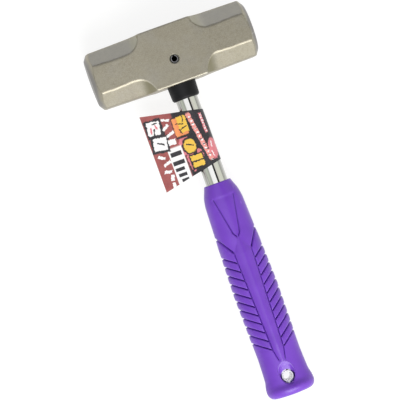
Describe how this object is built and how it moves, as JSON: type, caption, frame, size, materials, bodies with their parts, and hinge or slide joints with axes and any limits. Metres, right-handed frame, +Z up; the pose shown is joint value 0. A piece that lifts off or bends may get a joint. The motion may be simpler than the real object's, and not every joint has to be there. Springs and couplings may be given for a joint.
{
  "type": "short-handled sledgehammer",
  "caption": "Short sledgehammer with octagonal striking ends, a steel head pinned to a chromed tube handle, a ribbed rubber grip with a hang hole, and a folded film label.",
  "frame": {"origin": "on the lower cheek's plane, under the middle of the hammer's length and width", "axes": "+X along the head, +Y along the handle towards the head, +Z up through the cheeks, along the spring pin"},
  "size_m": [0.12, 0.2744, 0.042],
  "materials": {
    "head_steel": "satin ground and clear lacquered, fine grinding grain",
    "pin_steel": "spring steel, lightly oiled",
    "black_nylon": "moulded, satin",
    "tube_chrome": "bright nickel-chrome plate",
    "core_steel": "turned bar, unseen",
    "plug_plastic": "moulded, unseen",
    "eyelet_metal": "bright, pressed",
    "grip_rubber": "moulded, satin, fine matt texture",
    "label_film": null
  },
  "bodies": {
    "root": {"hammer_head": "head_steel", "spring_pin": "pin_steel", "eye_bush": "black_nylon", "handle_tube": "tube_chrome", "tube_core": "core_steel", "tube_end_plug": "plug_plastic", "hang_eyelet": "eyelet_metal", "eyelet_washer": "eyelet_metal", "grip": "grip_rubber", "flag_label": "label_film"}
  },
  "joints": []
}
